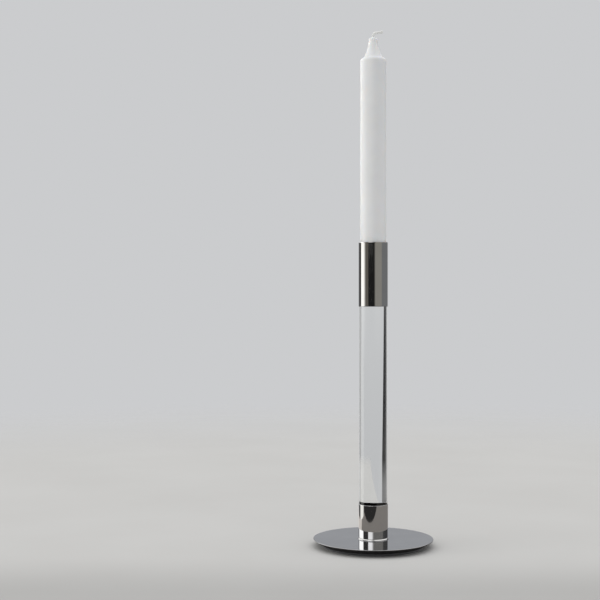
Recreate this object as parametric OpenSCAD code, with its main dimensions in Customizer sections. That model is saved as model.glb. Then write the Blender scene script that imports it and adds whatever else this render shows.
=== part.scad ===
/* [Base] */
// Diameter of the round base plate
base_d = 100; // [80:1:140]
// Thickness of the base plate
base_t = 4.5; // [3.8:0.1:8]
// Height of the plate's thin outer edge, above its undercut
edge_t = 0.6; // [0.6:0.1:1.5]
// How far the underside slopes inwards from the edge
undercut = 7; // [2:0.5:10]
// Thickness of the felt under the base plate
pad_t = 2; // [0.8:0.1:3]

/* [Tubes] */
// Outer diameter of both metal tubes
tube_d = 24.5; // [24.2:0.1:27]
// Wall thickness of both metal tubes
tube_wall = 0.45; // [0.4:0.05:0.6]
// Length of the short tube above the base
ferrule_h = 27.8; // [24:0.2:60]
// Length of the long tube that holds the candle
socket_h = 53.5; // [46:0.5:60]
// Height of the bevelled ring under the short tube
ring_h = 1; // [0.8:0.1:1.5]
// Height of the plug inside the short tube
plug_h = 9; // [8:0.5:11]
// Thickness of the plate that closes the candle socket
floor_h = 3; // [2:0.5:4]
// Thickness of the soft pads at the two ends of the glass
seat_t = 1; // [0.5:0.1:2]

/* [Glass] */
// Length of glass that shows between the two tubes
glass_show = 164.5; // [100:0.5:260]
// Length of glass inside the long tube
glass_hold = 20.5; // [15:0.5:22]
// Size of the ground edges at the ends of the glass
glass_chamfer = 0.6; // [0.3:0.1:1.5]

/* [Candle] */
// Diameter of the candle
candle_d = 21.8; // [20:0.1:22.2]
// Length of the wax, from the foot to the tip
candle_h = 200; // [120:1:300]
// Height of the hollow-sided tip above the shoulder
tip_h = 17; // [15:0.2:24]
// Radius of the wax where the wick comes out
neck_r = 3.8; // [3:0.1:5]
// Radius of the hollow curve between the shoulder and the neck
hollow_r = 37; // [28:1:60]
// Diameter of the wick
wick_d = 2.4; // [1.5:0.1:3]
// Length of bare wick that stands up before it bends over
wick_rise = 1.6; // [0.2:0.1:4]
// Length of bare wick past the bend
wick_reach = 6; // [4:0.2:9]

/* [Hidden] */
fine = 128;
round_fine = 48;
// How far a cutting shape runs past the surface that it cuts
past = 1;

// Heights of the stack, from the table up
plate_z = pad_t;
ring_z = plate_z + base_t;
ferrule_z = ring_z + ring_h;
ferrule_top = ferrule_z + ferrule_h;
plug_top = ferrule_z + plug_h;
glass_z = plug_top + seat_t;
socket_z = ferrule_top + glass_show;
glass_top = socket_z + glass_hold;
floor_z = glass_top + seat_t;
candle_z = floor_z + floor_h;
wax_top = candle_z + candle_h;

// Base plate, felt and ring
base_r = base_d / 2;
foot_r = base_r - undercut;
pad_inset = 1;
pad_hole_r = 7;
edge_round = 0.25;
ring_proud = 0.75;
ring_edge = 0.3;

// Tubes, and what is glued into them with a thin line of adhesive
tube_r = tube_d / 2;
bore_r = tube_r - tube_wall;
glue_line = 0.05;
insert_r = bore_r - glue_line;
rim_round = 0.2;
insert_chamfer = 0.4;

// M5 countersunk screw with a hex key socket, driven up from below
screw_r = 2.5;
screw_clear_r = 2.75;
screw_head_r = 4.6;
screw_sink = 0.2;
screw_head_h = screw_head_r - screw_r;
screw_z = plate_z + screw_sink;
screw_end_gap = 1.5;
screw_top = plug_top - screw_end_gap;
key_across = 3;
key_r = key_across / sqrt(3);
key_depth = 1.6;

// Candle: an upright body, a rounded shoulder, a hollow tip and a round crown
candle_r = candle_d / 2;
shoulder_round = 2.9;
shoulder_r = candle_r - shoulder_round;
foot_round = 1.2;
foot_h = 6;
crown_round = 1.5;
shoulder_z = wax_top - tip_h;
crown_z = wax_top - crown_round;

// Centre of the hollow curve, which runs from the shoulder to the neck
neck_point = [neck_r, crown_z];
shoulder_point = [shoulder_r, shoulder_z];
chord = shoulder_point - neck_point;
chord_side = [-chord[1], chord[0]] / norm(chord);
hollow_dist = sqrt(hollow_r * hollow_r - norm(chord) * norm(chord) / 4);
hollow_centre = (neck_point + shoulder_point) / 2 + chord_side * hollow_dist;

// Wick: upright, one bend to the side, then nearly level, with a frayed wider end
wick_r = wick_d / 2;
wick_bend_r = 2.4;
wick_bend_angle = 82;
wick_flare = 0.35;
wick_flare_h = 2.6;
wick_bend_z = wax_top + wick_rise;
wick_foot_z = candle_z + 3;

// Rectangle with its outer corners rounded, from radius r0 to r1
module rounded_band(r0, r1, z0, z1, corner) {
    translate([r0, z0]) square([r1 - r0 - corner, z1 - z0]);
    translate([r0, z0 + corner]) square([r1 - r0, z1 - z0 - 2 * corner]);
    for (z = [z0 + corner, z1 - corner])
        translate([r1 - corner, z]) circle(r = corner, $fn = round_fine);
}

// Solid round piece with both its edges chamfered
module chamfered_disc(r, z0, z1, chamfer) {
    rotate_extrude($fn = fine)
        polygon([
            [0, z0], [r - chamfer, z0], [r, z0 + chamfer],
            [r, z1 - chamfer], [r - chamfer, z1], [0, z1]
        ]);
}

// Thin tube whose two outer edges are softly rounded
module thin_tube(z0, height) {
    rotate_extrude($fn = fine)
        rounded_band(bore_r, tube_r, z0, z0 + height, rim_round);
}

// Flat round pad
module soft_pad(r, z0, height) {
    translate([0, 0, z0]) cylinder(r = r, h = height, $fn = fine);
}

module base_pad() {
    color("dimgray")
        difference() {
            soft_pad(foot_r - pad_inset, 0, pad_t);
            translate([0, 0, -past])
                cylinder(r = pad_hole_r, h = pad_t + 2 * past, $fn = fine);
        }
}

module base_plate() {
    color("silver")
        difference() {
            rotate_extrude($fn = fine) {
                polygon([
                    [0, plate_z], [foot_r, plate_z],
                    [base_r, ring_z - edge_t], [base_r, ring_z - edge_round],
                    [base_r - edge_round, ring_z - edge_round],
                    [base_r - edge_round, ring_z], [0, ring_z]
                ]);
                translate([base_r - edge_round, ring_z - edge_round])
                    circle(r = edge_round, $fn = round_fine);
            }
            translate([0, 0, plate_z - past])
                cylinder(r = screw_clear_r, h = base_t + 2 * past, $fn = fine);
            // Countersink, with a short straight mouth
            translate([0, 0, plate_z - past])
                cylinder(r = screw_head_r, h = screw_sink + past, $fn = fine);
            translate([0, 0, screw_z])
                cylinder(r1 = screw_head_r, r2 = screw_r, h = screw_head_h, $fn = fine);
        }
}

module base_screw() {
    color("gray")
        difference() {
            union() {
                translate([0, 0, screw_z])
                    cylinder(r1 = screw_head_r, r2 = screw_r, h = screw_head_h, $fn = fine);
                translate([0, 0, screw_z])
                    cylinder(r = screw_r, h = screw_top - screw_z, $fn = fine);
            }
            translate([0, 0, screw_z - past])
                cylinder(r = key_r, h = key_depth + past, $fn = 6);
        }
}

// The bevel runs from a short upright edge in to the tube
module seating_ring() {
    color("gainsboro")
        rotate_extrude($fn = fine)
            polygon([
                [screw_clear_r, ring_z], [tube_r + ring_proud, ring_z],
                [tube_r + ring_proud, ring_z + ring_edge],
                [tube_r, ferrule_z], [screw_clear_r, ferrule_z]
            ]);
}

module lower_ferrule() {
    color("silver") thin_tube(ferrule_z, ferrule_h);
}

module lower_plug() {
    color("darkgray")
        difference() {
            chamfered_disc(insert_r, ferrule_z, plug_top, insert_chamfer);
            translate([0, 0, ferrule_z - past])
                cylinder(r = screw_r, h = plug_h + 2 * past, $fn = fine);
        }
}

module lower_seat_pad() {
    color("whitesmoke") soft_pad(insert_r, plug_top, seat_t);
}

module glass_rod() {
    color([0.85, 0.93, 0.92, 0.35])
        chamfered_disc(insert_r, glass_z, glass_top, glass_chamfer);
}

module upper_seat_pad() {
    color("whitesmoke") soft_pad(insert_r, glass_top, seat_t);
}

module socket_floor() {
    color("darkgray") chamfered_disc(insert_r, floor_z, candle_z, insert_chamfer);
}

module socket_tube() {
    color("silver") thin_tube(socket_z, socket_h);
}

// Half outline of the wax
module wax_outline() {
    // Upright body with a well rounded shoulder
    rounded_band(0, candle_r, candle_z, shoulder_z, shoulder_round);
    // Foot, with a smaller round
    rounded_band(0, candle_r, candle_z, candle_z + foot_h, foot_round);
    // Hollow-sided tip
    difference() {
        translate([0, shoulder_z - past]) square([shoulder_r, crown_z - shoulder_z + past]);
        translate(hollow_centre) circle(r = hollow_r, $fn = 360);
    }
    // Round crown
    translate([0, crown_z - past / 2]) square([neck_r - crown_round, crown_round + past / 2]);
    translate([neck_r - crown_round, crown_z]) circle(r = crown_round, $fn = round_fine);
}

module candle_body() {
    color("ivory")
        difference() {
            rotate_extrude($fn = fine) wax_outline();
            translate([0, 0, wick_foot_z])
                cylinder(r = wick_r, h = candle_h, $fn = 64);
        }
}

module wick() {
    color("wheat") {
        translate([0, 0, wick_foot_z])
            cylinder(r = wick_r, h = wick_bend_z - wick_foot_z, $fn = 64);
        // The bend
        translate([wick_bend_r, 0, wick_bend_z])
            rotate([90, 0, 0])
                rotate([0, 0, 180 - wick_bend_angle])
                    rotate_extrude(angle = wick_bend_angle, $fn = 96)
                        translate([wick_bend_r, 0]) circle(r = wick_r, $fn = 64);
        // The end that leans over to the side, wider where it frays
        translate([wick_bend_r, 0, wick_bend_z])
            rotate([0, wick_bend_angle, 0])
                translate([-wick_bend_r, 0, 0])
                    rotate_extrude($fn = 64)
                        polygon([
                            [0, 0], [wick_r, 0], [wick_r, wick_reach - wick_flare_h],
                            [wick_r + wick_flare, wick_reach], [0, wick_reach]
                        ]);
    }
}

base_pad();
base_plate();
base_screw();
seating_ring();
lower_ferrule();
lower_plug();
lower_seat_pad();
glass_rod();
upper_seat_pad();
socket_floor();
socket_tube();
candle_body();
wick();
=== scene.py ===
import math

import bmesh
import bpy
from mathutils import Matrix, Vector, noise


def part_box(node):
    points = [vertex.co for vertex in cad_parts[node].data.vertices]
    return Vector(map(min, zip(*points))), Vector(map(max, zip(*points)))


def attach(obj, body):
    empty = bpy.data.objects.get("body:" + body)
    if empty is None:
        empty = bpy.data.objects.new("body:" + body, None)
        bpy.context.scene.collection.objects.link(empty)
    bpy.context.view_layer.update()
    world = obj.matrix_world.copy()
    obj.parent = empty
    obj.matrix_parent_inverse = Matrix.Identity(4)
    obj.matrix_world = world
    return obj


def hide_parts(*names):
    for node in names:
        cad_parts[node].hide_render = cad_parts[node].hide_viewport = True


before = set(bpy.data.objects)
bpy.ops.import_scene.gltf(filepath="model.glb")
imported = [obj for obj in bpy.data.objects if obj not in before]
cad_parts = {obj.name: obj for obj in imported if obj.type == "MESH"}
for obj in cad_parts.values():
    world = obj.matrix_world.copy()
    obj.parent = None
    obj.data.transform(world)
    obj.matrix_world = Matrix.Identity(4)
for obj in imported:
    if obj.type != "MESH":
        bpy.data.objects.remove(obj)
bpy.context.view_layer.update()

# Candlestick: a clear glass rod between two polished tubes on a thin round base, with a white candle.
# Units are metres. Heights and outer radii are read from the CAD nodes; the finer shapes are set here.

MM = 0.001
scene = bpy.context.scene

# Radius of the screw's hole through the seating ring and the plate
SCREW_HOLE = 2.75 * MM
# Thickness of both tubes
TUBE_WALL = 0.45 * MM
# The wick above the wax: a straight rise, the radius and angle of its bend, and its nearly level end
WICK_RISE = 1.6 * MM
WICK_BEND = 2.4 * MM
WICK_TURN = math.radians(82)
WICK_REACH = 5.9 * MM


# ---------------------------------------------------------------- sizes from the frame

def low(node):
    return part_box(node)[0]


def high(node):
    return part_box(node)[1]


def radius(node):
    """Outer radius of a node that is round about the Z axis."""
    return high(node).x


def clip(value):
    """value, kept between 0 and 1"""
    return max(0.0, min(1.0, value))


# ---------------------------------------------------------------- mesh helpers

def arc(centre, r, start, end, steps):
    """Points on an arc in the (radius, height) plane, angles in degrees."""
    points = []
    for i in range(steps + 1):
        a = math.radians(start + (end - start) * i / steps)
        points.append((centre[0] + r * math.cos(a), centre[1] + r * math.sin(a)))
    return points


def line(p, q, steps):
    """Evenly spaced points from p up to, but not including, q."""
    return [(p[0] + (q[0] - p[0]) * i / steps, p[1] + (q[1] - p[1]) * i / steps) for i in range(steps)]


def link_mesh(name, bm, sharp=35):
    """Turns a bmesh into a smooth-shaded object, creased where faces meet at more than sharp degrees."""
    bmesh.ops.recalc_face_normals(bm, faces=bm.faces)
    mesh = bpy.data.meshes.new(name)
    bm.to_mesh(mesh)
    bm.free()
    mesh.shade_smooth()
    mesh.set_sharp_from_angle(angle=math.radians(sharp))
    obj = bpy.data.objects.new(name, mesh)
    scene.collection.objects.link(obj)
    return obj


def lathe(name, outline, segments=224, sharp=35):
    """Closed solid of revolution. A point at radius 0 becomes a pole; without one the outline is a loop."""
    bm = bmesh.new()
    rings = []
    for r, z in outline:
        if r == 0:
            rings.append([bm.verts.new((0, 0, z))])
            continue
        turn = [2 * math.pi * k / segments for k in range(segments)]
        rings.append([bm.verts.new((r * math.cos(a), r * math.sin(a), z)) for a in turn])
    pairs = list(zip(rings, rings[1:]))
    if len(rings[0]) > 1:
        pairs.append((rings[-1], rings[0]))
    for a, b in pairs:
        for k in range(segments):
            n = (k + 1) % segments
            if len(a) == 1:
                bm.faces.new((a[0], b[n], b[k]))
            elif len(b) == 1:
                bm.faces.new((a[k], a[n], b[0]))
            else:
                bm.faces.new((a[k], a[n], b[n], b[k]))
    return link_mesh(name, bm, sharp)


def tube_along(bm, path, radius_at, sides=10):
    """Adds one closed tube along a path to a bmesh. radius_at(t) is its radius, t running from 0 to 1."""
    rings = []
    side = Vector((0, 1, 0))
    last = len(path) - 1
    for i, p in enumerate(path):
        ahead = (path[min(i + 1, last)] - path[max(i - 1, 0)]).normalized()
        u = (side - ahead * side.dot(ahead)).normalized()
        v = ahead.cross(u)
        side = u
        r = radius_at(i / last)
        ring = []
        for k in range(sides):
            a = 2 * math.pi * k / sides
            ring.append(bm.verts.new(p + u * (r * math.cos(a)) + v * (r * math.sin(a))))
        rings.append(ring)
    for a, b in zip(rings, rings[1:]):
        for k in range(sides):
            n = (k + 1) % sides
            bm.faces.new((a[k], a[n], b[n], b[k]))
    bm.faces.new(list(reversed(rings[0])))
    bm.faces.new(rings[-1])


# ---------------------------------------------------------------- material helpers

class Nodes:
    """Short way to write a node tree."""

    def __init__(self, tree):
        self.tree = tree
        tree.nodes.clear()

    def add(self, kind, **settings):
        node = self.tree.nodes.new(kind)
        for key, value in settings.items():
            setattr(node, key, value)
        return node

    def link(self, out, into):
        self.tree.links.new(out, into)

    def put(self, value, socket):
        """Links value if it is an output, or sets it as the socket's constant."""
        if isinstance(value, bpy.types.NodeSocket):
            self.link(value, socket)
        else:
            socket.default_value = value

    def math(self, operation, a, b=0.0):
        node = self.add("ShaderNodeMath", operation=operation)
        self.put(a, node.inputs[0])
        self.put(b, node.inputs[1])
        return node.outputs[0]

    def mix(self, factor, a, b):
        """Colour mix: a where factor is 0, b where it is 1. Sockets 6 and 7 are the colour ones."""
        node = self.add("ShaderNodeMix", data_type="RGBA")
        self.put(factor, node.inputs[0])
        self.put(a, node.inputs[6])
        self.put(b, node.inputs[7])
        return node.outputs[2]

    def span(self, value, from_min, from_max, to_min, to_max, smooth=False):
        """Maps one range of value to another, held at its two ends."""
        node = self.add("ShaderNodeMapRange", interpolation_type="SMOOTHSTEP" if smooth else "LINEAR")
        self.put(value, node.inputs[0])
        for i, number in enumerate((from_min, from_max, to_min, to_max), start=1):
            node.inputs[i].default_value = number
        return node.outputs[0]

    def place(self, scale=(1, 1, 1)):
        """Object coordinates in metres, stretched by scale."""
        where = self.add("ShaderNodeTexCoord")
        mapping = self.add("ShaderNodeMapping")
        mapping.inputs["Scale"].default_value = scale
        self.link(where.outputs["Object"], mapping.inputs["Vector"])
        return mapping.outputs[0]

    def noise(self, scale, detail=3.0, roughness=0.5, stretch=(1, 1, 1), distortion=0.0):
        node = self.add("ShaderNodeTexNoise")
        self.link(self.place(stretch), node.inputs["Vector"])
        node.inputs["Scale"].default_value = scale
        node.inputs["Detail"].default_value = detail
        node.inputs["Roughness"].default_value = roughness
        node.inputs["Distortion"].default_value = distortion
        return node.outputs[0]

    def bump(self, height, strength, distance, before=None):
        node = self.add("ShaderNodeBump")
        node.inputs["Strength"].default_value = strength
        node.inputs["Distance"].default_value = distance
        self.link(height, node.inputs["Height"])
        if before is not None:
            self.link(before, node.inputs["Normal"])
        return node.outputs[0]


def new_material(name):
    """(material, its Nodes, its Principled shader)"""
    material = bpy.data.materials.new(name)
    material.use_nodes = True
    n = Nodes(material.node_tree)
    out = n.add("ShaderNodeOutputMaterial")
    shader = n.add("ShaderNodeBsdfPrincipled")
    n.link(shader.outputs[0], out.inputs[0])
    return material, n, shader


def set_inputs(shader, **values):
    """Sets the shader's own sockets; an underscore in a name stands for a space."""
    for key, value in values.items():
        shader.inputs[key.replace("_", " ")].default_value = value


# ---------------------------------------------------------------- materials

def polished_metal():
    """Mirror-polished nickel: fine polishing lines, a few hairline scratches and faint smears."""
    material, n, shader = new_material("polished_metal")
    set_inputs(shader, Metallic=1.0, Specular_Tint=(0.80, 0.80, 0.81, 1))
    smear = n.noise(90, detail=4, roughness=0.6, distortion=0.8)
    tone = n.span(n.noise(45, detail=2), 0.35, 0.65, 0.0, 1.0)
    n.link(n.mix(tone, (0.520, 0.512, 0.500, 1), (0.555, 0.548, 0.538, 1)), shader.inputs["Base Color"])
    n.link(n.span(smear, 0.35, 0.8, 0.025, 0.085), shader.inputs["Roughness"])
    polish = n.noise(1.0, detail=5, roughness=0.7, stretch=(300, 300, 9000))
    scratch = n.noise(1.0, detail=2, stretch=(5200, 900, 260), distortion=0.4)
    hairline = n.span(scratch, 0.70, 0.74, 0.0, 1.0)
    lines = n.bump(polish, 0.02, 0.004 * MM)
    n.link(n.bump(hairline, 0.06, 0.004 * MM, lines), shader.inputs["Normal"])
    return material


def plate_metal():
    """The base's nickel: a little more haze and cloud than the tubes, with hairline scratches."""
    material, n, shader = new_material("plate_metal")
    set_inputs(shader, Metallic=1.0, Specular_Tint=(0.72, 0.73, 0.75, 1))
    cloud = n.span(n.noise(38, detail=4, roughness=0.55, distortion=0.6), 0.35, 0.7, 0.0, 1.0)
    n.link(n.mix(cloud, (0.480, 0.482, 0.488, 1), (0.520, 0.522, 0.526, 1)), shader.inputs["Base Color"])
    haze = n.noise(120, detail=4, roughness=0.6)
    n.link(n.span(haze, 0.35, 0.75, 0.04, 0.10), shader.inputs["Roughness"])
    scratch = n.noise(1.0, detail=2, stretch=(4200, 420, 900), distortion=0.6)
    hairline = n.span(scratch, 0.70, 0.75, 0.0, 1.0)
    n.link(n.bump(hairline, 0.05, 0.004 * MM), shader.inputs["Normal"])
    return material


def painted_shade_underside():
    """The plate's underside: unpolished, with grinding marks, and made near black as painted shade for the
    dark gap under the plate.
    """
    material, n, shader = new_material("painted_shade_underside")
    set_inputs(shader, Metallic=0.6)
    ground = n.noise(1.0, detail=4, roughness=0.65, stretch=(60, 900, 900))
    n.link(n.mix(n.span(ground, 0.3, 0.7, 0.0, 1.0), (0.020, 0.020, 0.021, 1), (0.050, 0.050, 0.052, 1)),
           shader.inputs["Base Color"])
    n.link(n.span(n.noise(300, detail=4), 0.3, 0.7, 0.42, 0.62), shader.inputs["Roughness"])
    n.link(n.bump(ground, 0.2, 0.02 * MM), shader.inputs["Normal"])
    return material


def edge_metal():
    """The plate's thin upright edge: brushed round, duller than the polished faces."""
    material, n, shader = new_material("edge_metal")
    set_inputs(shader, Metallic=1.0)
    brushed = n.noise(1.0, detail=4, roughness=0.6, stretch=(120, 120, 9000))
    n.link(n.mix(n.span(brushed, 0.3, 0.7, 0.0, 1.0), (0.20, 0.20, 0.205, 1), (0.30, 0.30, 0.305, 1)),
           shader.inputs["Base Color"])
    n.link(n.span(n.noise(500, detail=4), 0.3, 0.7, 0.28, 0.40), shader.inputs["Roughness"])
    n.link(n.bump(brushed, 0.2, 0.01 * MM), shader.inputs["Normal"])
    return material


def clear_glass():
    """Solid drawn glass: clear, with the faint long waves that drawing leaves."""
    material, n, shader = new_material("clear_glass")
    set_inputs(shader, Base_Color=(0.985, 0.992, 0.988, 1), IOR=1.50, Transmission_Weight=1.0,
               Roughness=0.0)
    waves = n.noise(1.0, detail=3, roughness=0.5, stretch=(130, 130, 9))
    ripple = n.noise(1.0, detail=2, stretch=(60, 60, 40))
    n.link(n.bump(ripple, 0.10, 0.02 * MM, n.bump(waves, 0.22, 0.02 * MM)), shader.inputs["Normal"])
    return material


def white_wax():
    """Smooth white candle wax with depth, a soft sheen, and faint cloudiness."""
    material, n, shader = new_material("white_wax")
    set_inputs(shader, Subsurface_Weight=0.75, Subsurface_Radius=(1.0, 0.9, 0.8), Subsurface_Scale=3.2 * MM,
               IOR=1.44, Coat_Weight=0.10, Coat_Roughness=0.20)
    cloud = n.span(n.noise(55, detail=4, roughness=0.55), 0.3, 0.7, 0.0, 1.0)
    n.link(n.mix(cloud, (0.842, 0.846, 0.846, 1), (0.880, 0.884, 0.884, 1)), shader.inputs["Base Color"])
    n.link(n.span(n.noise(260, detail=4, roughness=0.6), 0.3, 0.7, 0.30, 0.42), shader.inputs["Roughness"])
    grain = n.noise(1500, detail=3, roughness=0.6)
    drawn = n.noise(1.0, detail=3, stretch=(220, 220, 24))
    n.link(n.bump(grain, 0.10, 0.02 * MM, n.bump(drawn, 0.18, 0.05 * MM)), shader.inputs["Normal"])
    return material


def cotton_wick():
    """Waxed cotton: fine speckle, creamier patches, and loose fibre drawn out along Z."""
    material, n, shader = new_material("cotton_wick")
    set_inputs(shader, Roughness=0.82, Sheen_Weight=0.5, Sheen_Roughness=0.5,
               Coat_Weight=0.5, Coat_Roughness=0.30)
    speck = n.span(n.noise(2600, detail=4, roughness=0.65), 0.3, 0.7, 0.0, 1.0)
    speckle = n.mix(speck, (0.90, 0.90, 0.88, 1), (0.98, 0.98, 0.97, 1))
    patch = n.span(n.noise(420, detail=3), 0.3, 0.7, 0.0, 1.0)
    n.link(n.mix(patch, (0.94, 0.94, 0.91, 1), speckle), shader.inputs["Base Color"])
    fibre = n.noise(1.0, detail=3, roughness=0.6, stretch=(9000, 9000, 2400))
    n.link(n.bump(fibre, 0.3, 0.02 * MM), shader.inputs["Normal"])
    return material


def felt():
    """Dense charcoal wool felt with matted fibres."""
    material, n, shader = new_material("felt")
    set_inputs(shader, Roughness=0.95, Sheen_Weight=0.5, Sheen_Roughness=0.6)
    fibre = n.noise(1800, detail=6, roughness=0.75, distortion=1.2)
    mottle = n.noise(160, detail=4, roughness=0.6)
    dark = n.mix(n.span(fibre, 0.3, 0.7, 0.0, 1.0), (0.030, 0.030, 0.032, 1), (0.090, 0.090, 0.096, 1))
    patches = n.span(mottle, 0.35, 0.7, 0.0, 0.6)
    n.link(n.mix(patches, dark, (0.060, 0.060, 0.064, 1)), shader.inputs["Base Color"])
    n.link(n.bump(mottle, 0.4, 0.2 * MM, n.bump(fibre, 0.9, 0.12 * MM)), shader.inputs["Normal"])
    return material


def zinc_steel():
    """Bright zinc plate on the screw, with fine grain and duller patches."""
    material, n, shader = new_material("zinc_steel")
    set_inputs(shader, Metallic=1.0)
    patch = n.span(n.noise(600, detail=4), 0.35, 0.65, 0.0, 1.0)
    n.link(n.mix(patch, (0.50, 0.51, 0.52, 1), (0.66, 0.67, 0.68, 1)), shader.inputs["Base Color"])
    n.link(n.span(patch, 0.0, 1.0, 0.22, 0.38), shader.inputs["Roughness"])
    n.link(n.bump(n.noise(4000, detail=3), 0.15, 0.01 * MM), shader.inputs["Normal"])
    return material


def turned_aluminium():
    """Lathe-turned insert: rings about the axis from the cutting tool."""
    material, n, shader = new_material("turned_aluminium")
    set_inputs(shader, Metallic=1.0)
    where = n.add("ShaderNodeTexCoord")
    rings = n.add("ShaderNodeTexWave", wave_type="RINGS", rings_direction="Z")
    n.link(where.outputs["Object"], rings.inputs["Vector"])
    rings.inputs["Scale"].default_value = 1100
    rings.inputs["Distortion"].default_value = 0.4
    worn = n.span(n.noise(500, detail=4), 0.3, 0.7, 0.0, 1.0)
    n.link(n.mix(worn, (0.70, 0.70, 0.71, 1), (0.80, 0.80, 0.81, 1)), shader.inputs["Base Color"])
    n.link(n.span(worn, 0.0, 1.0, 0.28, 0.42), shader.inputs["Roughness"])
    n.link(n.bump(rings.outputs[0], 0.35, 0.02 * MM), shader.inputs["Normal"])
    return material


def silicone():
    """Translucent soft pad."""
    material, n, shader = new_material("silicone")
    set_inputs(shader, IOR=1.42, Subsurface_Weight=0.4, Subsurface_Radius=(1.0, 1.0, 1.0),
               Subsurface_Scale=1.0 * MM)
    haze = n.span(n.noise(700, detail=4), 0.3, 0.7, 0.0, 1.0)
    n.link(n.mix(haze, (0.62, 0.62, 0.60, 1), (0.72, 0.72, 0.70, 1)), shader.inputs["Base Color"])
    n.link(n.span(haze, 0.0, 1.0, 0.45, 0.6), shader.inputs["Roughness"])
    n.link(n.bump(n.noise(3000, detail=2), 0.2, 0.02 * MM), shader.inputs["Normal"])
    return material


# ---------------------------------------------------------------- pieces

POLISHED = polished_metal()
PLATED = plate_metal()
UNDERSIDE_SHADE = painted_shade_underside()
EDGE = edge_metal()
GLASS = clear_glass()
WAX = white_wax()
COTTON = cotton_wick()
FELT = felt()
ZINC = zinc_steel()
TURNED = turned_aluminium()
SILICONE = silicone()

CAD_LOOKS = {
    "base_screw": ZINC,
    "lower_plug": TURNED,
    "socket_floor": TURNED,
    "lower_seat_pad": SILICONE,
    "upper_seat_pad": SILICONE,
}


def finish_piece(piece, material, body, node):
    """Gives a piece its material and its body, and hides the CAD node that it stands for."""
    piece.data.materials.append(material)
    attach(piece, body)
    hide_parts(node)
    return piece


def make_base_plate():
    """Thin-edged round plate, undercut all round, countersunk from below for the screw."""
    node = "base_plate"
    top, bottom, edge = high(node).z, low(node).z, radius(node) - 0.02 * MM
    undercut, lip = 7 * MM, 0.6 * MM
    foot = edge - undercut
    # Radii that soften the upper edge, the lip below it and the foot
    hair, lip_soft, foot_soft = 0.25 * MM, 0.08 * MM, 0.35 * MM
    # The countersink: its mouth, and the short upright wall below its cone
    mouth, sink = 4.6 * MM, 0.2 * MM
    cone_top = bottom + sink + mouth - SCREW_HOLE
    outline = []
    outline += line((SCREW_HOLE, top), (edge - 2 * hair, top), 10)
    outline += arc((edge - hair, top - hair), hair, 90, 0, 8)
    outline += line((edge, top - hair - 0.05 * MM), (edge, top - lip), 2)
    outline += arc((edge - lip_soft, top - lip + lip_soft), lip_soft, 0, -58, 4)
    outline += line((edge - 0.2 * MM, top - lip - 0.1 * MM), (foot + 0.3 * MM, bottom + 0.2 * MM), 4)
    outline += arc((foot - 0.2 * MM, bottom + foot_soft), foot_soft, -32, -90, 5)
    outline += line((foot - 0.6 * MM, bottom), (mouth + 0.1 * MM, bottom), 6)
    outline += [(mouth + 0.1 * MM, bottom), (mouth, bottom + 0.05 * MM), (mouth, bottom + sink)]
    outline += [(SCREW_HOLE, cone_top)]
    plate = lathe("base_plate_polished", outline, segments=320)
    finish_piece(plate, PLATED, "holder", node)
    plate.data.materials.append(UNDERSIDE_SHADE)
    plate.data.materials.append(EDGE)
    under_slot, edge_slot = 1, 2
    # Faces underneath get the near-black painted shade; the thin upright edge gets the duller edge metal
    for face in plate.data.polygons:
        if face.normal.z < -0.3 and face.center.z < top - lip:
            face.material_index = under_slot
        elif abs(face.normal.z) < 0.5 and face.center.xy.length > foot:
            face.material_index = edge_slot
    return plate


def make_base_pad():
    """Felt foot: a soft-edged disc with a slightly uneven matted surface and a hole for the hex key."""
    node = "base_pad"
    top, edge = high(node).z, radius(node)
    hole, soft = 7 * MM, 0.35 * MM
    # How far fibres pull in at the rim and lift off underneath, and how fine their matting is
    pull_most, lift_most, fineness = 0.05 * MM, 0.04 * MM, 2200
    outline = []
    outline += line((hole + soft, top), (edge - soft, top), 26)
    outline += arc((edge - soft, top - soft), soft, 90, 0, 4)
    outline += arc((edge - soft, soft), soft, 0, -90, 4)
    outline += line((edge - soft - 1.2 * MM, 0), (hole + soft, 0), 26)
    outline += arc((hole + soft, soft), soft, -90, -180, 4)
    outline += arc((hole + soft, top - soft), soft, 180, 90, 4)[:-1]
    pad = lathe("base_pad_felt", outline, segments=256, sharp=80)
    for v in pad.data.vertices:
        matting = noise.fractal(v.co * fineness, 0.8, 2.0, 3)
        pull = pull_most * min(1.0, abs(matting))
        out = Vector((v.co.x, v.co.y, 0)).normalized()
        if v.co.z < soft and matting > 0.25:
            v.co.z += lift_most * matting
        if math.hypot(v.co.x, v.co.y) > edge - soft:
            v.co -= out * pull
    return finish_piece(pad, FELT, "holder", node)


def make_seating_ring():
    """Polished ring between the plate and the short tube, with a bevel that runs in to the tube."""
    node = "seating_ring"
    top, bottom, edge = high(node).z, low(node).z, radius(node)
    upright, soft, bulge_most, bevel_steps = 0.3 * MM, 0.05 * MM, 0.03 * MM, 6
    tube = radius("lower_ferrule")
    outline = []
    outline += line((SCREW_HOLE, top), (tube - 0.3 * MM, top), 6)
    outline += [(tube - 0.3 * MM, top), (tube - soft, top - 0.4 * soft)]
    # The bevel bulges very slightly
    bevel = line((tube, top - soft), (edge - soft, bottom + upright), bevel_steps)
    for i, (r, z) in enumerate(bevel):
        bulge = bulge_most * math.sin(math.pi * i / bevel_steps)
        outline.append((r + bulge, z + bulge))
    outline += arc((edge - soft, bottom + upright - soft), soft, 40, 0, 3)
    outline += line((edge, bottom + upright - 2 * soft), (edge, bottom + 2 * soft), 2)
    outline += arc((edge - soft, bottom + soft), soft, 0, -90, 3)
    outline += line((edge - 0.5 * MM, bottom), (SCREW_HOLE, bottom), 6)
    outline += [(SCREW_HOLE, bottom)]
    ring = lathe("seating_ring_polished", outline)
    return finish_piece(ring, POLISHED, "holder", node)


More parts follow.
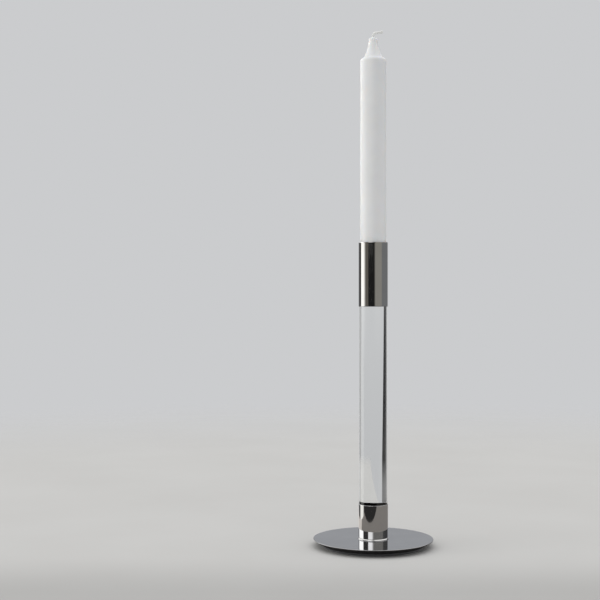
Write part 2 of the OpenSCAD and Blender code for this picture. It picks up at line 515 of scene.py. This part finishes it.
def make_tube(node):
    """Thin drawn tube: outer edges rolled over, inner edges broken, the wall dead straight between."""
    top, bottom, edge = high(node).z, low(node).z, radius(node)
    bore = edge - TUBE_WALL
    roll, broken = 0.2 * MM, 0.08 * MM
    outline = []
    outline += arc((edge - roll, top - roll), roll, 90, 0, 7)
    outline += line((edge, top - 2 * roll), (edge, bottom + 2 * roll), 24)
    outline += [(edge, bottom + 2 * roll)]
    outline += arc((edge - roll, bottom + roll), roll, 0, -90, 7)
    outline += [(bore + broken, bottom), (bore, bottom + broken)]
    outline += line((bore, bottom + 3 * broken), (bore, top - 3 * broken), 12)
    outline += [(bore, top - broken), (bore + broken, top)]
    tube = lathe(node + "_polished", outline)
    return finish_piece(tube, POLISHED, "holder", node)


def make_glass_rod():
    """Solid glass rod with fire-softened edges at its two ends."""
    node = "glass_rod"
    top, bottom, edge = high(node).z, low(node).z, radius(node)
    soft, core = 0.6 * MM, edge * 0.3
    outline = [(0, top)]
    outline += line((core, top), (edge - soft, top), 4)
    outline += arc((edge - soft, top - soft), soft, 90, 0, 8)
    outline += line((edge, top - 2 * soft), (edge, bottom + 2 * soft), 40)
    outline += [(edge, bottom + 2 * soft)]
    outline += arc((edge - soft, bottom + soft), soft, 0, -90, 8)
    outline += line((edge - 3 * soft, bottom), (core, bottom), 4)
    outline += [(core, bottom), (0, bottom)]
    rod = lathe("glass_rod_clear", outline, segments=256)
    return finish_piece(rod, GLASS, "holder", node)


def candle_outline(top, bottom, edge):
    """Half outline of the wax, from the crown down to the foot."""
    crown, neck = 1.5 * MM, 3.8 * MM
    shoulder = top - 17 * MM
    bend, foot, foot_band, centre_dot = 2.9 * MM, 1.2 * MM, 3 * MM, 1 * MM
    ledge = (edge - bend, shoulder)
    start = (neck, top - crown)
    # The hollow flank is one arc of this radius, from the neck to the shoulder
    hollow = 37 * MM
    dx, dz = ledge[0] - start[0], ledge[1] - start[1]
    length = math.hypot(dx, dz)
    rise = math.sqrt(hollow ** 2 - length ** 2 / 4)
    centre = ((start[0] + ledge[0]) / 2 - dz / length * rise,
              (start[1] + ledge[1]) / 2 + dx / length * rise)
    a0 = math.degrees(math.atan2(start[1] - centre[1], start[0] - centre[0])) % 360
    a1 = math.degrees(math.atan2(ledge[1] - centre[1], ledge[0] - centre[0])) % 360
    outline = [(0, top)]
    outline += line((0.3 * MM, top), (neck - crown, top), 10)
    outline += arc((neck - crown, top - crown), crown, 90, 0, 9)[:-1]
    outline += arc(centre, hollow, a0, a1, 44)[:-1]
    outline += arc((edge - bend, shoulder - bend), bend, 84, 0, 14)
    outline += line((edge, shoulder - bend - 0.3 * MM), (edge, bottom + foot_band), 150)
    outline += line((edge, bottom + foot_band), (edge, bottom + foot), 4)
    outline += arc((edge - foot, bottom + foot), foot, 0, -90, 7)
    outline += line((edge - 2 * foot, bottom), (centre_dot, bottom), 7)
    outline += [(centre_dot, bottom), (0, bottom)]
    return outline


def make_candle():
    """Wax body, very slightly uneven as poured wax is, with a small meniscus where the wick comes out."""
    node = "candle_body"
    top, bottom, edge = high(node).z, low(node).z, radius(node)
    # How deep the unevenness goes down the body, and how much more it is at the tip
    body_uneven, tip_uneven = 0.030 * MM, 0.10 * MM
    # How far the wax climbs the wick, and how far the crown sinks towards its rim
    climb, dip = 0.70 * MM, 0.30 * MM
    candle = lathe("candle_wax", candle_outline(top, bottom, edge), segments=192, sharp=60)
    for v in candle.data.vertices:
        r = math.hypot(v.co.x, v.co.y)
        out = Vector((v.co.x, v.co.y, 0)).normalized()
        swell = noise.fractal(Vector((v.co.x * 60, v.co.y * 60, v.co.z * 28)), 1.0, 2.0, 3)
        tip = clip((v.co.z - (top - 19 * MM)) / (16 * MM))
        depth = body_uneven + tip_uneven * tip
        wave = 0.5 + 0.5 * math.tanh(2 * swell)
        v.co -= out * depth * wave * min(1.0, r / (2 * MM))
        crown = clip((v.co.z - (top - 2 * MM)) / (1.6 * MM))
        lift = climb * math.exp(-(r / (1.7 * MM)) ** 2) - dip * min(1.0, r / (3 * MM))
        v.co.z += lift * crown * crown * (3 - 2 * crown)
    candle.data.update()
    return finish_piece(candle, WAX, "candle", node)


def wick_path(start, wax_top, steps):
    """Centre line of the wick: up, one bend towards +X, then a nearly level end."""
    rise = wax_top + WICK_RISE
    straight = rise - start
    bend = WICK_BEND * WICK_TURN
    total = straight + bend + WICK_REACH
    corner = Vector((WICK_BEND * (1 - math.cos(WICK_TURN)), 0, rise + WICK_BEND * math.sin(WICK_TURN)))
    points = []
    for i in range(steps + 1):
        s = total * i / steps
        if s < straight:
            points.append(Vector((0, 0, start + s)))
        elif s < straight + bend:
            a = (s - straight) / WICK_BEND
            points.append(Vector((WICK_BEND * (1 - math.cos(a)), 0, rise + WICK_BEND * math.sin(a))))
        else:
            past = s - straight - bend
            points.append(corner + Vector((math.sin(WICK_TURN), 0, math.cos(WICK_TURN))) * past)
    return points, total


def make_wick():
    """Braided cotton wick: three yarns, each of three plies, that open out at the cut end."""
    node = "wick"
    wax_top = high("candle_body").z
    # The braid begins a little below the wax's top
    start = wax_top - 5 * MM
    steps = 260
    path, length = wick_path(start, wax_top, steps)
    pitch, twist_pitch = 4.2 * MM, 1.7 * MM
    # In millimetres: how far a yarn swings across and up, and how far a ply lies from its yarn's middle
    swing_across, swing_up, ply_offset = 0.60, 0.54, 0.20
    # Along the wick, from 0 to 1: the braid opens by this much over its last stretch
    opening, opens_at, opens_over = 0.35, 0.84, 0.16
    # Each ply narrows at its very end
    ply_radius, narrowing, narrows_at, narrows_over = 0.40 * MM, 0.25, 0.97, 0.03
    core_radius, core_steps = 1.0 * MM, 12

    def ply_radius_at(t):
        return ply_radius * (1 - narrowing * max(0.0, t - narrows_at) / narrows_over)

    bm = bmesh.new()
    across = Vector((0, 1, 0))
    for yarn in range(3):
        for ply in range(3):
            points = []
            for i, p in enumerate(path):
                ahead = (path[min(i + 1, steps)] - path[max(i - 1, 0)]).normalized()
                upward = ahead.cross(across)
                t = i / steps
                turn = 2 * math.pi * (length * t / pitch + yarn / 3)
                twist = 2 * math.pi * (length * t / twist_pitch + ply / 3)
                loose = 1.0 + opening * max(0.0, t - opens_at) / opens_over
                a = (swing_across * math.sin(turn) * loose + ply_offset * math.cos(twist)) * MM
                b = (swing_up * math.sin(2 * turn) * loose + ply_offset * math.sin(twist)) * MM
                points.append(p + across * a + upward * b)
            tube_along(bm, points, ply_radius_at, sides=8)
    # Inside the wax the wick is a plain core
    foot = low(node).z
    core = [Vector((0, 0, foot + (start - foot) * i / core_steps)) for i in range(core_steps + 1)]
    tube_along(bm, core, lambda t: core_radius, sides=16)
    wick = link_mesh("wick_braid", bm, sharp=60)
    return finish_piece(wick, COTTON, "candle", node)


# These CAD nodes keep their shape and get a better material
for node, material in CAD_LOOKS.items():
    cad_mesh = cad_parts[node].data
    cad_mesh.materials.clear()
    cad_mesh.materials.append(material)

make_base_pad()
make_base_plate()
make_seating_ring()
make_tube("lower_ferrule")
make_tube("socket_tube")
make_glass_rod()
make_candle()
make_wick()


# ---------------------------------------------------------------- studio

# The plain backdrop
WALL = (0.597, 0.604, 0.616)

# Studio round the object: (from, to, colour), in degrees from the way the camera looks, + to the right.
# Broad panels in round numbers. Between two panels the tone blends. Metal, glass and matt surfaces each
# see a set of their own.
# In the metal, near eye level: a window on the left, the dark camera side, a warm wall on the right.
MIRROR_ROOM = [
    (-30, 30, WALL),
    (35, 110, (0.25, 0.26, 0.27)),
    (115, 165, (0.38, 0.37, 0.34)),
    (175, 220, (0.02, 0.02, 0.02)),
    (225, 245, (0.18, 0.17, 0.15)),
    (265, 290, (1.9, 1.9, 1.85)),
    (295, 325, (0.06, 0.06, 0.06)),
]
# Above eye level: the same window, and a second one to the left of the camera.
MIRROR_ABOVE = [
    (-30, 30, WALL),
    (35, 95, (0.15, 0.15, 0.15)),
    (105, 180, (0.45, 0.44, 0.42)),
    (195, 220, (2.8, 2.8, 2.8)),
    (225, 265, (0.10, 0.10, 0.10)),
    (270, 315, (3.8, 3.8, 3.75)),
]
# Below it, past the front of the table: dark, with the foot of the window.
MIRROR_BELOW = [
    (-30, 30, WALL),
    (35, 260, (0.04, 0.04, 0.04)),
    (270, 300, (1.5, 1.5, 1.45)),
    (305, 325, (0.08, 0.08, 0.08)),
]
# Through the glass: the backdrop, with a window on the left and a grey wall on each side.
GLASS_ROOM = [
    (-30, 45, WALL),
    (60, 120, (0.45, 0.45, 0.45)),
    (130, 245, WALL),
    (255, 285, (1.3, 1.3, 1.3)),
    (290, 325, (0.35, 0.35, 0.35)),
]
# Through the glass, when it is looked down on: the floor's tone, darker to the left of the camera.
GLASS_LOW = [
    (-100, 215, (0.575, 0.568, 0.550)),
    (225, 250, (0.15, 0.15, 0.15)),
]
# On matt surfaces: an even room and one soft window on the left.
SOFT_ROOM = [
    (-60, 110, (0.68, 0.685, 0.695)),
    (120, 240, (0.60, 0.605, 0.615)),
    (250, 295, (1.75, 1.75, 1.70)),
]
# High up, in the metal: a ceiling that is darker over the camera
CEILING = [
    (-130, 145, (1.35, 1.35, 1.35)),
    (165, 205, (0.55, 0.55, 0.55)),
]
# Painted reflection of the window on the table: how much brighter the floor's colour is made, for rays from
# the metal, where the table would mirror the window
TABLE_PAINTED_SHEEN = [
    (-80, 265, (1.0, 1.0, 1.0)),
    (280, 300, (3.0, 3.0, 3.0)),
]
# Well below eye level, in the metal; then overhead and well below it, on matt surfaces
MIRROR_DOWN = (0.10, 0.10, 0.10, 1)
SOFT_OVERHEAD = (1.04, 1.045, 1.06, 1)
SOFT_DOWN = (0.45, 0.45, 0.44, 1)

# Where one set gives way to the next, as the sine of the elevation: (starts, ends)
MIRROR_UP = (0.06, 0.08)
MIRROR_UNDER = (-0.05, -0.01)
TO_CEILING = (0.35, 0.50)
TO_OVERHEAD = (0.55, 0.75)
TO_DOWN = (-0.30, -0.19)
GLASS_UP = (0.10, 0.15)
GLASS_UNDER = (-0.20, -0.175)

# A dark flag on the left, seen through the glass. Its outer edge fades in between two angles, and its inner
# edge slants from the first angle at its foot to the second at eye level. Below its foot it is lighter.
FLAG_OUTER = (305, 310)
FLAG_INNER = (335, 325)
FLAG_FOOT = -0.13
FLAG_FADE = (-0.15, FLAG_FOOT)
FLAG_TONE, FLAG_FOOT_TONE = 0.005, 0.20


def wheel(n, azimuth, panels):
    """Colour ramp round the horizon. azimuth runs from 0 to 1, from straight ahead and to the right."""
    node = n.add("ShaderNodeValToRGB")
    ramp = node.color_ramp
    stops = []
    for start, end, colour in panels:
        for angle in (start, end):
            stops.append(((angle % 360) / 360, colour))
    stops.sort(key=lambda stop: stop[0])
    while len(ramp.elements) < len(stops):
        ramp.elements.new(0.5)
    for element, (where, _) in zip(ramp.elements, stops):
        element.position = where
    for element, (_, colour) in zip(ramp.elements, stops):
        element.color = (*colour, 1)
    n.link(azimuth, node.inputs[0])
    return node.outputs[0]


def compass(n, x, y):
    """Direction round the Z axis, from 0 to 1, starting at +Y and turning towards +X."""
    return n.math("FRACT", n.math("ADD", n.math("DIVIDE", n.math("ARCTAN2", x, y), 2 * math.pi), 1.0))


def grey(value):
    """An opaque grey"""
    return (value, value, value, 1)


def make_world():
    """The studio. What a ray sees of it depends on what it has just left: camera, metal, glass or matt."""
    world = bpy.data.worlds.new("studio")
    scene.world = world
    world.use_nodes = True
    n = Nodes(world.node_tree)
    out = n.add("ShaderNodeOutputWorld")
    background = n.add("ShaderNodeBackground")
    n.link(background.outputs[0], out.inputs[0])
    where = n.add("ShaderNodeTexCoord")
    split = n.add("ShaderNodeSeparateXYZ")
    n.link(where.outputs["Generated"], split.inputs[0])
    x, y, z = split.outputs
    azimuth = compass(n, x, y)
    overhead = n.span(z, *TO_OVERHEAD, 0.0, 1.0, smooth=True)
    down = n.span(z, *TO_DOWN, 1.0, 0.0, smooth=True)

    mirror = wheel(n, azimuth, MIRROR_ROOM)
    mirror = n.mix(n.span(z, *MIRROR_UP, 0.0, 1.0), mirror, wheel(n, azimuth, MIRROR_ABOVE))
    mirror = n.mix(n.span(z, *MIRROR_UNDER, 1.0, 0.0), mirror, wheel(n, azimuth, MIRROR_BELOW))
    mirror = n.mix(n.span(z, *TO_CEILING, 0.0, 1.0, smooth=True), mirror, wheel(n, azimuth, CEILING))
    mirror = n.mix(down, mirror, MIRROR_DOWN)

    # The flag draws a dark line down the glass
    foot_edge, head_edge = (angle / 360 for angle in FLAG_INNER)
    outer_start, outer_end = (angle / 360 for angle in FLAG_OUTER)
    slant = n.span(z, FLAG_FOOT, 0.0, foot_edge, head_edge)
    inner = n.span(n.math("SUBTRACT", azimuth, slant), -0.002, 0.002, 1.0, 0.0)
    flag = n.math("MULTIPLY", inner, n.span(azimuth, outer_start, outer_end, 0.0, 1.0))
    flag_tone = n.mix(n.span(z, *FLAG_FADE, 1.0, 0.0), grey(FLAG_TONE), grey(FLAG_FOOT_TONE))
    glass = n.mix(flag, wheel(n, azimuth, GLASS_ROOM), flag_tone)
    # The backdrop darkens a little towards the table
    glass = n.mix(n.span(z, FLAG_FOOT, 0.0, 0.12, 0.03), glass, grey(0.0))
    glass = n.mix(n.span(z, *GLASS_UNDER, 1.0, 0.0), glass, wheel(n, azimuth, GLASS_LOW))
    glass = n.mix(n.span(z, *GLASS_UP, 0.0, 1.0), glass, (*WALL, 1))

    soft = n.mix(overhead, wheel(n, azimuth, SOFT_ROOM), SOFT_OVERHEAD)
    soft = n.mix(down, soft, SOFT_DOWN)

    ray = n.add("ShaderNodeLightPath")
    light = n.mix(ray.outputs["Is Glossy Ray"], soft, mirror)
    light = n.mix(ray.outputs["Is Transmission Ray"], light, glass)
    light = n.mix(ray.outputs["Is Camera Ray"], light, (*WALL, 1))
    n.link(light, background.inputs[0])


def make_floor():
    """Pale floor that melts into the backdrop. Mirrors and glass see it end at a front and a side edge."""
    reach, fade_start, fade_end = 1.5, 0.55, 1.45
    # Just under the felt, so that the two faces don't fight
    drop = 0.1 * MM
    # The two straight edges: compass direction, and distance from the stem
    front_edge, side_edge = (210, 130 * MM), (295, 135 * MM)
    # Through glass the floor gives way to the room between these distances
    glass_end = (0.50, 0.60)
    # The floor darkens by this much towards the camera, over this stretch of Y
    shade, shade_over = 0.20, (-0.17, -0.03)
    # Painted shade: the floor's colour as mirrors see it, darker than its own colour
    mirrored_painted_shade = (0.36, 0.34, 0.32)
    bm = bmesh.new()
    bmesh.ops.create_circle(bm, cap_ends=True, segments=96, radius=reach)
    mesh = bpy.data.meshes.new("floor")
    bm.to_mesh(mesh)
    bm.free()
    floor = bpy.data.objects.new("floor", mesh)
    floor.location.z = -drop
    scene.collection.objects.link(floor)
    material = bpy.data.materials.new("floor")
    material.use_nodes = True
    n = Nodes(material.node_tree)
    out = n.add("ShaderNodeOutputMaterial")
    clear = n.add("ShaderNodeBsdfTransparent")
    plaster = n.add("ShaderNodeBsdfDiffuse")
    where = n.add("ShaderNodeTexCoord")
    split = n.add("ShaderNodeSeparateXYZ")
    n.link(where.outputs["Object"], split.inputs[0])
    x, y, _ = split.outputs
    distance = n.math("SQRT", n.math("ADD", n.math("MULTIPLY", x, x), n.math("MULTIPLY", y, y)))
    fade = n.span(distance, fade_start, fade_end, 0.0, 1.0, smooth=True)

    def past_edge(degrees, offset):
        """1 beyond a straight edge that lies offset from the stem, in a compass direction."""
        facing = math.radians(degrees)
        along_x = n.math("MULTIPLY", x, math.sin(facing))
        along_y = n.math("MULTIPLY", y, math.cos(facing))
        return n.math("GREATER_THAN", n.math("ADD", along_x, along_y), offset)

    ray = n.add("ShaderNodeLightPath")
    through = ray.outputs["Is Transmission Ray"]
    mirrored = n.math("MULTIPLY", ray.outputs["Is Glossy Ray"], n.math("SUBTRACT", 1.0, through))
    past = n.math("MAXIMUM", past_edge(*front_edge), past_edge(*side_edge))
    gone = n.math("MULTIPLY", n.math("MAXIMUM", mirrored, through), past)
    far = n.math("MULTIPLY", through, n.span(distance, *glass_end, 0.0, 1.0))
    gone = n.math("MAXIMUM", gone, far)
    mottle = n.span(n.noise(6, detail=4), 0.35, 0.65, 0.0, 1.0)
    tone = n.mix(mottle, (0.625, 0.617, 0.598, 1), (0.645, 0.638, 0.620, 1))
    tone = n.mix(n.span(y, *shade_over, shade, 0.0, smooth=True), tone, grey(0.0))
    # Painted shade and a painted reflection of the window: for mirror rays the floor takes the darker
    # mirrored colour, made brighter where it would mirror the window
    mirror_paint = n.add("ShaderNodeVectorMath", operation="MULTIPLY")
    n.link(wheel(n, compass(n, x, y), TABLE_PAINTED_SHEEN), mirror_paint.inputs[0])
    mirror_paint.inputs[1].default_value = mirrored_painted_shade
    tone = n.mix(mirrored, tone, mirror_paint.outputs[0])
    n.link(tone, plaster.inputs[0])
    # Seen from below, the floor is clear, so that it doesn't hide the object's underside
    behind = n.add("ShaderNodeNewGeometry").outputs["Backfacing"]
    cover = n.add("ShaderNodeMixShader")
    n.link(n.math("MAXIMUM", n.math("MAXIMUM", fade, gone), behind), cover.inputs[0])
    n.link(plaster.outputs[0], cover.inputs[1])
    n.link(clear.outputs[0], cover.inputs[2])
    n.link(cover.outputs[0], out.inputs[0])
    mesh.materials.append(material)


def make_camera():
    """Level camera just above the foot of the socket tube, with the stick right of the centre line."""
    aside, distance, height = 0.0611, 1.013, 0.2053
    camera = bpy.data.objects.new("camera", bpy.data.cameras.new("camera"))
    scene.collection.objects.link(camera)
    camera.data.sensor_width = 36
    camera.data.lens = 72.8
    camera.location = (-aside, -distance, height)
    camera.rotation_euler = (math.radians(90), 0, 0)
    camera.data.clip_start, camera.data.clip_end = 0.01, 50
    scene.camera = camera


make_world()
make_floor()
make_camera()

scene.view_settings.view_transform = "Standard"
scene.cycles.max_bounces = 16
scene.cycles.transmission_bounces = 14
scene.cycles.glossy_bounces = 8
scene.cycles.transparent_max_bounces = 12
scene.cycles.caustics_refractive = True
scene.cycles.caustics_reflective = False
scene.cycles.sample_clamp_indirect = 4.0
